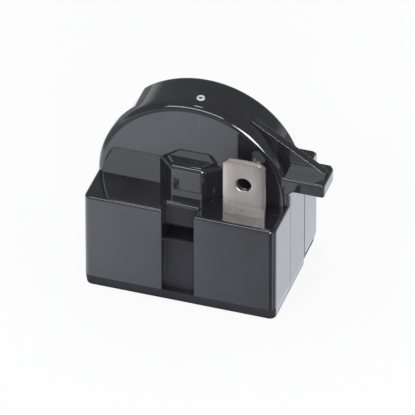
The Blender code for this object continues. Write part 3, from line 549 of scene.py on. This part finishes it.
class RELAY_OT_cover(bpy.types.Operator):
    """Finish the rear cover"""
    bl_idname = "relay.cover"
    bl_label = "Rear cover"

    def execute(self, context):
        piece = show("cover_shell", [merged_copy("rear_cover")], plastic_finish(), ("rear_cover",))
        return {"FINISHED"}


def blade_mesh(tab):
    """Tab blade with a coined margin, a bevelled end and a rolled hole, as a grid that closes both ways.

    Seen from the hole's middle, the rim at each angle is the nearest of the blade's six edge lines,
    which is the line's distance over the cosine of the angle to its normal. The rows run from the
    hole's front edge over the front face, the coined margin and the rim to the rear, and back through
    the hole.
    """
    half = tab.width / 2
    above = tab.top - tab.hole_height
    below = tab.hole_height - tab.root
    slanted = math.sqrt(0.5) * (half + above - tab.chamfer)
    distance = np.array([half, slanted, above, slanted, half, below])
    normal = np.radians([0, 45, 90, 135, 180, 270])
    corner_x = np.array([half, half, half - tab.chamfer, -half + tab.chamfer, -half, -half])
    corner_z = np.array([-below, above - tab.chamfer, above, above, above - tab.chamfer, -below])
    # Where the coined margin's own corners lie, inside those of the rim
    inner_x = tab.coin_width * np.array([1, 1, 0.6, -0.6, -1, -1])
    inner_z = tab.coin_width * np.array([-1, 0.6, 1, 1, 0.6, -1])
    angle = np.unique(np.concatenate([np.arctan2(corner_z, corner_x),
                                      np.arctan2(corner_z - inner_z, corner_x - inner_x),
                                      np.linspace(-math.pi, math.pi, 120, endpoint=False)]))
    facing = np.cos(angle[None, :] - normal[:, None])

    def rim(inset):
        reach = np.where(facing > 1e-3, (distance[:, None] - inset) / np.maximum(facing, 1e-3), 1.0)
        return reach.min(axis=0)

    around = np.ones_like(angle)
    near, far = tab.front, tab.front + tab.thickness
    radius, roll = tab.hole_radius, tab.hole_edge
    break_width, break_depth = 0.04 * MM, 0.05 * MM
    coined = tab.coin_depth
    turn = np.linspace(math.pi / 2, 0, 5)
    rows = [(around * (radius + roll * (1 - math.sin(t))), near + 0.7 * roll * (1 - math.cos(t)))
            for t in turn]
    rows += [
        (rim(tab.coin_width), near),
        (rim(tab.lead_height), near + 0.3 * coined),
        (rim(0.25 * tab.coin_width), near + 0.75 * coined),
        (rim(break_width), near + coined),
        (rim(0), near + coined + break_depth),
        (rim(0), far - coined - break_depth),
        (rim(break_width), far - coined),
        (rim(tab.lead_height), far),
        (rim(tab.coin_width), far),
        (around * (radius + break_depth), far),
        (around * radius, far - break_depth),
    ]
    reach = np.stack([row[0] for row in rows])
    depth = np.array([row[1] for row in rows])[:, None]
    x = tab.middle + reach * np.cos(angle)
    z = tab.hole_height + reach * np.sin(angle)
    # The end's bevel deepens above its lower line, towards the sheet's middle from either face
    rise = np.clip(1 + (z - tab.top) / tab.lead_height, 0, 1)
    y = depth + rise * tab.lead_depth * np.sign((near + far) / 2 - depth)
    points = np.stack([x, y, z], axis=-1).reshape(-1, 3)
    faces = np.array(grid_faces(len(rows) + 1, len(angle))) % len(points)
    return tidy_mesh("blade", points, faces.tolist(), 9)


def strip_below(mesh, height):
    """Part of a mesh below a height, with the cut closed."""
    bm = bmesh.new()
    bm.from_mesh(mesh)
    cut = bmesh.ops.bisect_plane(bm, geom=[*bm.verts, *bm.edges, *bm.faces], plane_co=(0, 0, height),
                                 plane_no=(0, 0, 1), clear_outer=True)
    rim = [item for item in cut["geom_cut"] if isinstance(item, bmesh.types.BMEdge)]
    bmesh.ops.contextual_create(bm, geom=rim)
    bm.to_mesh(mesh)
    bm.free()
    return mesh


class RELAY_OT_metal(bpy.types.Operator):
    """Finish the tab, the strips, the springs, the sockets, the clips and the rivets"""
    bl_idname = "relay.metal"
    bl_label = "Metal parts"

    def execute(self, context):
        finishes = context.scene.relay_finishes
        tin = metal_finish("tinned_sheet", finishes.tin, roughness=0.3)
        bronze = metal_finish("spring_bronze", finishes.bronze, roughness=0.32)
        brass = metal_finish("rolled_brass", finishes.brass, roughness=0.28)
        steel = metal_finish("spring_steel", finishes.steel, roughness=0.3)
        pieces = {
            "start_strip": ("start_terminal", tin, "tinned_brass"),
            "spring_front": ("front_spring", bronze, "spring_bronze"),
            "spring_rear": ("rear_spring", bronze, "spring_bronze"),
            "socket_run": ("run_socket", brass, "socket_brass"),
            "socket_start": ("start_socket", brass, "socket_brass"),
            "clip_run": ("run_socket_clip", steel, "clip_steel"),
            "clip_start": ("start_socket_clip", steel, "clip_steel"),
            "rivet_run": ("run_rivet", steel, "clip_steel"),
            "rivet_start": ("start_rivet", steel, "clip_steel"),
        }
        for name, (node, finish, slot) in pieces.items():
            show(name, [merged_copy(node)], finish, (node,))
        tab = context.scene.relay_tab
        strip = strip_below(merged_copy("tab_terminal"), tab.root)
        show("tab_blade", [blade_mesh(tab), strip], tin, ("tab_terminal",))
        return {"FINISHED"}


class RELAY_OT_pill(bpy.types.Operator):
    """Finish the ceramic pill"""
    bl_idname = "relay.pill"
    bl_label = "Pill"

    def execute(self, context):
        silvering = context.scene.relay_finishes.silvering
        finish = metal_finish("silvered_ceramic", silvering, roughness=0.55, metallic=0.3)
        piece = show("pill_disc", [merged_copy("ptc_pill")], finish, ("ptc_pill",))
        return {"FINISHED"}


# Finishes

class Nodes:
    """Short way to add and link the nodes of one tree."""

    def __init__(self, tree):
        self.tree = tree

    def feed(self, node, inputs):
        """Give a node its inputs, each a value or another node's output."""
        for key, value in inputs.items():
            if isinstance(value, bpy.types.NodeSocket):
                self.tree.links.new(value, node.inputs[key])
            else:
                node.inputs[key].default_value = value

    def add(self, kind, inputs=None, **settings):
        node = self.tree.nodes.new(kind)
        for key, value in settings.items():
            setattr(node, key, value)
        self.feed(node, inputs or {})
        return node

    def math(self, operation, first, *others):
        """One operation over several values, from left to right, or over a single value."""
        for other in others or (0.0,):
            first = self.add("ShaderNodeMath", {0: first, 1: other}, operation=operation).outputs[0]
        return first

    def product(self, *values):
        return self.math("MULTIPLY", *values)

    def distance(self, across, along):
        """Length of a flat vector."""
        return self.math("SQRT", self.math("ADD", self.product(across, across), self.product(along, along)))

    def ramp(self, value, low, high, start=0.0, end=1.0):
        """Smooth step of a value between two limits."""
        node = self.add("ShaderNodeMapRange", {0: value, 1: low, 2: high, 3: start, 4: end},
                        interpolation_type="SMOOTHSTEP", clamp=True)
        return node.outputs[0]

    def band(self, value, low, rise, fall, high):
        """Smooth step up between the first two limits, and down between the last two."""
        return self.product(self.ramp(value, low, rise), self.ramp(value, high, fall))

    def noise(self, vector, scale, detail=2.0):
        inputs = {"Vector": vector, "Scale": scale, "Detail": detail, "Roughness": 0.5}
        return self.add("ShaderNodeTexNoise", inputs).outputs["Fac"]

    def blend(self, factor, first, second):
        """Mix of two colours."""
        first, second = ((*value, 1) if isinstance(value, tuple) else value for value in (first, second))
        return self.add("ShaderNodeMix", {"Factor": factor, "A": first, "B": second},
                        data_type="RGBA").outputs["Result"]

    def bump(self, height, strength):
        """Normal from a height in hundredths of a millimetre."""
        inputs = {"Height": height, "Strength": strength, "Distance": 0.01 * MM}
        return self.add("ShaderNodeBump", inputs).outputs["Normal"]

    def mix(self, factor, first, second):
        """Mix of two shaders."""
        return self.add("ShaderNodeMixShader", {0: factor, 1: first, 2: second}).outputs[0]


def new_group(name, inputs, outputs):
    """Empty shader node group with a Vector, with numbers as inputs and with numbers as outputs."""
    group = bpy.data.node_groups.new(name, "ShaderNodeTree")
    sockets = group.interface
    sockets.new_socket(name="Vector", in_out="INPUT", socket_type="NodeSocketVector")
    for label, default in inputs.items():
        socket = sockets.new_socket(name=label, in_out="INPUT", socket_type="NodeSocketFloat")
        socket.default_value = default
    for label in outputs:
        sockets.new_socket(name=label, in_out="OUTPUT", socket_type="NodeSocketFloat")
    nodes = Nodes(group)
    return nodes, nodes.add("NodeGroupInput").outputs, nodes.add("NodeGroupOutput")


def marks_group():
    """Handling marks: fine scratches that run two ways, and specks of dust."""
    nodes, given, out = new_group("Handling Marks", {"Scratches": 0.5, "Dust": 0.5},
                                  ("Scratch Mask", "Dust Mask", "Cloud"))
    place = given["Vector"]
    runs = []
    for turn, stretch in ((0.5, (2600, 90, 90)), (-0.9, (80, 2200, 120))):
        mapping = nodes.add("ShaderNodeMapping",
                            {"Vector": place, "Rotation": (0.3, turn, turn), "Scale": stretch})
        runs.append(nodes.ramp(nodes.noise(mapping.outputs[0], 1.0, 1.0), 0.70, 0.76))
    patches = nodes.ramp(nodes.noise(place, 240.0), 0.5, 0.68)
    scratch = nodes.product(nodes.math("MAXIMUM", *runs), patches, given["Scratches"])
    cells = nodes.add("ShaderNodeTexVoronoi", {"Vector": place, "Scale": 900.0})
    speck = nodes.ramp(cells.outputs["Distance"], 0.10, 0.05)
    chosen = nodes.ramp(nodes.noise(place, 420.0), 0.60, 0.66)
    nodes.feed(out, {"Scratch Mask": scratch, "Dust Mask": nodes.product(speck, chosen, given["Dust"]),
                     "Cloud": nodes.noise(place, 130.0, 3.0)})
    return nodes.tree


def grain_group():
    """Moulded skin: long waves of the mould's polish over a fine grain, as one height."""
    nodes, given, out = new_group("Moulded Skin", {"Wave": 1.0, "Grain": 0.1}, ("Height",))
    wave = nodes.product(nodes.noise(given["Vector"], 260.0, 1.0), given["Wave"])
    fine = nodes.product(nodes.noise(given["Vector"], 9000.0), given["Grain"])
    nodes.feed(out, {"Height": nodes.math("ADD", wave, fine)})
    return nodes.tree


def new_finish(name, scratches, dust):
    """New material, with its nodes, its Principled shader, its Object coordinates and its marks."""
    material = bpy.data.materials.new(name)
    material.use_nodes = True
    nodes = Nodes(material.node_tree)
    place = nodes.add("ShaderNodeTexCoord").outputs["Object"]
    marks = nodes.add("ShaderNodeGroup", {"Vector": place, "Scratches": scratches, "Dust": dust},
                      node_tree=bpy.data.node_groups.get("Handling Marks") or marks_group())
    return material, nodes, material.node_tree.nodes["Principled BSDF"], place, marks.outputs


def moulded(name, colour, roughness, gloss, wave=0.6, grain=0.16, scratches=0.0, dust=0.0, polish=0.0,
            pin=None):
    """Moulded plastic with its own polish, grain and marks.

    gloss is its index of refraction, polish is the weight of its coat, and pin is the place and radius
    of an ejector pin's mark.
    """
    if name in bpy.data.materials:
        return bpy.data.materials[name]
    material, nodes, shader, place, marks = new_finish(name, scratches, dust)
    skin = nodes.add("ShaderNodeGroup", {"Vector": place, "Wave": wave, "Grain": grain},
                     node_tree=bpy.data.node_groups.get("Moulded Skin") or grain_group())
    cloud = marks["Cloud"]
    worn = nodes.math("MAXIMUM", marks["Scratch Mask"], marks["Dust Mask"])
    colour = tuple(colour)
    bloom = tuple(1.45 * channel for channel in colour)
    haze = nodes.blend(nodes.ramp(cloud, 0.35, 0.7), colour, bloom)
    cloudy = nodes.product(nodes.math("SUBTRACT", cloud, 0.5), roughness * 0.8)
    rough = nodes.math("ADD", cloudy, roughness, nodes.product(worn, 0.25))
    height = skin.outputs["Height"]
    if pin:
        # Raised ring on the faces in front of the pin's Y
        x, y, z, radius = pin
        spot = nodes.add("ShaderNodeSeparateXYZ", {0: place}).outputs
        away = nodes.distance(nodes.math("SUBTRACT", spot["X"], x), nodes.math("SUBTRACT", spot["Z"], z))
        away = nodes.math("ABSOLUTE", nodes.math("SUBTRACT", away, radius))
        ahead = nodes.math("LESS_THAN", spot["Y"], y)
        height = nodes.math("ADD", height, nodes.product(nodes.ramp(away, 0.12 * MM, 0.02 * MM), ahead, 0.5))
    nodes.feed(shader, {"Base Color": nodes.blend(worn, haze, (0.16, 0.16, 0.17)), "Roughness": rough,
                        "Normal": nodes.bump(height, 1.0), "IOR": gloss})
    if polish:
        # The marks break the polished skin
        skinned = nodes.product(nodes.math("SUBTRACT", 1.0, worn), polish)
        nodes.feed(shader, {"Coat Weight": skinned, "Coat IOR": 1.65, "Coat Roughness": 0.06})
    return material


def plastic_finish():
    """Polished faces."""
    base = bpy.context.scene.relay_base
    pin = (base.pin_x, base.front + 0.1 * MM, base.pin_height, base.pin_radius)
    return moulded("polished_plastic", bpy.context.scene.relay_finishes.plastic, roughness=0.10,
                   gloss=1.5, wave=0.4, grain=0.02, scratches=0.25, dust=0.3, polish=1.0, pin=pin)


def recess_finish():
    """Eroded faces of the recess and the front band, a little paler and duller."""
    pale = tuple(1.4 * channel for channel in bpy.context.scene.relay_finishes.plastic)
    return moulded("eroded_plastic", pale, roughness=0.42, gloss=1.33, scratches=0.15, dust=0.2)


def gate_torn_and_glint_finish():
    """Pale plastic of the gate mark: torn plastic, and a painted highlight where the ring glints."""
    return moulded("torn_plastic", (0.55, 0.55, 0.56), roughness=0.45, gloss=1.5, grain=0.5)


def metal_finish(name, colour, roughness, metallic=1.0):
    """Rolled or plated metal: streaks along the strip, a cloudy tone and small dark specks."""
    if name in bpy.data.materials:
        return bpy.data.materials[name]
    material, nodes, shader, place, marks = new_finish(name, scratches=0.2, dust=0.8)
    stretched = nodes.add("ShaderNodeMapping", {"Vector": place, "Scale": (2400, 2400, 120)})
    streaks = nodes.noise(stretched.outputs[0], 1.0)
    colour = tuple(colour)
    dark = tuple(0.62 * channel for channel in colour)
    cloudy = nodes.product(nodes.ramp(marks["Cloud"], 0.3, 0.75), 0.45)
    tone = nodes.blend(nodes.math("ADD", cloudy, nodes.product(streaks, 0.25)), colour, dark)
    tone = nodes.blend(marks["Dust Mask"], tone, (0.05, 0.045, 0.04))
    rough = nodes.math("ADD", nodes.product(streaks, 0.16), roughness - 0.08,
                       nodes.product(marks["Scratch Mask"], -0.1))
    nodes.feed(shader, {"Base Color": tone, "Roughness": rough, "Normal": nodes.bump(streaks, 0.5),
                        "Metallic": metallic})
    return material


# Stage

def floor_finish(settings):
    """Pale floor. A camera ray sees it white, with the relay's shadow.

    Glossy and transmission rays see an emission map of the light on the table, never more than 1, white:
    painted bright and dark areas set by place, which the relay's faces reflect, and a painted contact
    shadow.
    """
    material = bpy.data.materials.new("pale_floor")
    material.use_nodes = True
    material.node_tree.nodes.clear()
    nodes = Nodes(material.node_tree)
    spot = nodes.add("ShaderNodeTexCoord").outputs["Object"]
    place = nodes.add("ShaderNodeSeparateXYZ", {0: spot}).outputs
    x, y = place["X"], place["Y"]
    side, front = COVER_HIGH.x, -HOUSING_LOW.y
    # Azimuth about the right-hand front corner, in degrees, 0 to the right and negative to the front
    east = nodes.math("SUBTRACT", x, side - 0.6 * MM)
    north = nodes.math("ADD", y, front - 0.5 * MM)
    azimuth = nodes.math("DEGREES", nodes.math("ARCTAN2", north, east))
    # Painted light on the table: it falls off to the right, and a painted dark wedge and a painted dark
    # patch in front shade what the relay's faces reflect
    across = nodes.add("ShaderNodeMapRange", {0: x, 1: -18 * MM, 2: 12 * MM, 3: 1.08, 4: 0.46}).outputs[0]
    painted_dark_wedge = nodes.band(azimuth, -92.0, -86.0, -50.0, -42.0)
    painted_dark_patch = nodes.product(nodes.ramp(x, -4.5 * MM, -1 * MM), nodes.ramp(y, -28.5 * MM, -31.5 * MM), 0.5)
    dark = nodes.product(nodes.math("MAXIMUM", painted_dark_wedge, painted_dark_patch), 0.8)
    # Painted shade: the table is a little darker near the relay's front
    near = nodes.ramp(y, -36 * MM, -29 * MM, 1.0, 0.88)
    lit = nodes.product(across, nodes.math("SUBTRACT", 1.0, dark), near)
    # Painted highlights: a bright strip in front on the right, and the table bright at the right and back,
    # for the relay's faces to reflect
    strip = nodes.band(azimuth, -44.0, -38.0, -30.0, -24.0)
    painted_bright_back = nodes.band(azimuth, 18.0, 40.0, 110.0, 130.0)
    lit = nodes.math("MINIMUM", nodes.math("MAXIMUM", lit, strip, painted_bright_back), 1.0)
    # Painted shade: the table darkens far from the relay
    far = nodes.ramp(nodes.distance(x, y), 46 * MM, 66 * MM, 1.0, 0.3)
    # Painted contact shadow around the foot, except under the bright part of the right side
    beside = nodes.math("SUBTRACT", nodes.math("ABSOLUTE", x), side)
    ahead = nodes.math("SUBTRACT", nodes.math("ABSOLUTE", y), front)
    outside = nodes.math("MAXIMUM", beside, ahead)
    painted_contact_shadow = nodes.product(nodes.ramp(outside, 0.2 * MM, 2.4 * MM, 0.6, 1.0),
                            nodes.ramp(outside, -0.1 * MM, 0.12 * MM, 0.15, 1.0))
    right = nodes.ramp(x, side + 0.06 * MM, side + 0.16 * MM)
    right_front = nodes.product(nodes.ramp(x, side - 0.2 * MM, side),
                                nodes.ramp(y, -3.2 * MM, -3.6 * MM, 0.0, 0.5))
    lit = nodes.product(lit, far, nodes.math("MAXIMUM", painted_contact_shadow, right, right_front))
    path = nodes.add("ShaderNodeLightPath").outputs
    matte = nodes.add("ShaderNodeBsdfDiffuse", {"Color": (*settings.floor, 1)}).outputs[0]
    white = nodes.add("ShaderNodeEmission", {"Color": (1, 1, 1, 1), "Strength": 1.0}).outputs[0]
    table = nodes.add("ShaderNodeEmission", {"Color": (0.90, 0.93, 1.0, 1), "Strength": lit}).outputs[0]
    seen = nodes.mix(nodes.product(path["Is Camera Ray"], 0.9), matte, white)
    mirrored = nodes.math("MAXIMUM", path["Is Glossy Ray"], path["Is Transmission Ray"])
    nodes.add("ShaderNodeOutputMaterial", {"Surface": nodes.mix(mirrored, seen, table)})
    return material


def studio_world():
    """World: soft light, a dimmer one with a glow near the horizon for glossy rays, white for the camera."""
    world = bpy.data.worlds.new("studio")
    world.use_nodes = True
    world.node_tree.nodes.clear()
    nodes = Nodes(world.node_tree)
    path = nodes.add("ShaderNodeLightPath").outputs
    direction = nodes.add("ShaderNodeTexCoord").outputs["Generated"]
    height = nodes.add("ShaderNodeSeparateXYZ", {0: direction}).outputs["Z"]
    glow = nodes.ramp(height, 0.0, 0.2, 0.62, 0.175)
    lights = [((0.97, 0.98, 1.0, 1), 0.7), ((0.95, 0.97, 1.0, 1), glow), ((1, 1, 1, 1), 1.0)]
    soft, dim, white = (nodes.add("ShaderNodeBackground", {"Color": tint, "Strength": strength}).outputs[0]
                        for tint, strength in lights)
    seen = nodes.mix(path["Is Camera Ray"], nodes.mix(path["Is Glossy Ray"], soft, dim), white)
    nodes.add("ShaderNodeOutputWorld", {"Surface": seen})
    return world


def add_lamp(name, extent, strength, place, tint=(1, 1, 1)):
    """Rectangular softbox that looks at the relay's middle."""
    data = bpy.data.lights.new(name, "AREA")
    data.shape = "RECTANGLE"
    data.size, data.size_y = extent
    data.energy = strength
    data.color = tint
    lamp = bpy.data.objects.new(name, data)
    bpy.context.scene.collection.objects.link(lamp)
    lamp.location = place
    middle = Vector((0, 0, 12 * MM))
    lamp.rotation_euler = (middle - Vector(place)).to_track_quat("-Z", "Y").to_euler()


class RELAY_OT_stage(bpy.types.Operator):
    """Build the floor, the lamps, the world and the camera"""
    bl_idname = "relay.stage"
    bl_label = "Stage"

    def execute(self, context):
        scene = context.scene
        settings = scene.relay_stage
        angle = np.linspace(0, 2 * math.pi, 96, endpoint=False)
        rim = np.stack([np.cos(angle), np.sin(angle), np.zeros_like(angle)], axis=1) * 1.5
        rim[:, 2] = -0.05 * MM
        mesh = bpy.data.meshes.new("floor")
        mesh.from_pydata(rim.tolist(), [], [list(range(len(angle)))])
        floor = bpy.data.objects.new("floor", mesh)
        scene.collection.objects.link(floor)
        mesh.materials.append(floor_finish(settings))

        scene.world = studio_world()
        add_lamp("front_strip", extent=(0.6, 0.12), strength=1.1, place=(-0.161, -0.50, 0.473),
                 tint=(0.94, 0.96, 1.0))
        add_lamp("right_softbox", extent=(0.15, 0.2), strength=1.1, place=(0.18, -0.46, 0.105))
        add_lamp("top_softbox", extent=(0.08, 0.08), strength=0.12, place=(-0.1, 0.0, 0.6))

        azimuth, elevation = settings.azimuth, settings.elevation
        sight = Vector((math.sin(azimuth) * math.cos(elevation),
                        -math.cos(azimuth) * math.cos(elevation), math.sin(elevation)))
        data = bpy.data.cameras.new("camera")
        data.sensor_width = 36.0
        data.lens = data.sensor_width * settings.distance / settings.frame_width
        data.clip_start = 0.1
        data.clip_end = 20.0
        data.dof.use_dof = False
        camera = bpy.data.objects.new("camera", data)
        scene.collection.objects.link(camera)
        camera.location = Vector(settings.aim) + sight * settings.distance
        camera.rotation_euler = (-sight).to_track_quat("-Z", "Y").to_euler()
        scene.camera = camera
        scene.view_settings.view_transform = "Standard"
        return {"FINISHED"}


# Panel and registration

PIECES = (RELAY_OT_base, RELAY_OT_drum, RELAY_OT_pillar, RELAY_OT_ear, RELAY_OT_cover,
          RELAY_OT_metal, RELAY_OT_pill, RELAY_OT_stage)
GROUPS = {
    "relay_base": RelayBaseSizes,
    "relay_recess": RelayRecessSizes,
    "relay_drum": RelayDrumSizes,
    "relay_ear": RelayEarSizes,
    "relay_tab": RelayTabSizes,
    "relay_finishes": RelayFinishes,
    "relay_stage": RelayStageSettings,
}


class RELAY_PT_panel(bpy.types.Panel):
    """Sizes, finishes and pieces of the start relay"""
    bl_idname = "RELAY_PT_panel"
    bl_label = "Start Relay"
    bl_space_type = "VIEW_3D"
    bl_region_type = "UI"
    bl_category = "Start Relay"

    def draw(self, context):
        for name, group in GROUPS.items():
            box = self.layout.box()
            box.label(text=group.__doc__)
            for key in group.__annotations__:
                box.prop(getattr(context.scene, name), key)
        for operator in PIECES:
            self.layout.operator(operator.bl_idname)


def register():
    for item in (*GROUPS.values(), *PIECES, RELAY_PT_panel):
        bpy.utils.register_class(item)
    for name, group in GROUPS.items():
        setattr(bpy.types.Scene, name, PointerProperty(type=group))


def unregister():
    for name in GROUPS:
        delattr(bpy.types.Scene, name)
    for item in (RELAY_PT_panel, *reversed(PIECES), *reversed(list(GROUPS.values()))):
        bpy.utils.unregister_class(item)


def main():
    register()
    for operator in PIECES:
        area, name = operator.bl_idname.split(".")
        getattr(getattr(bpy.ops, area), name)()


if __name__ == "__main__":
    main()
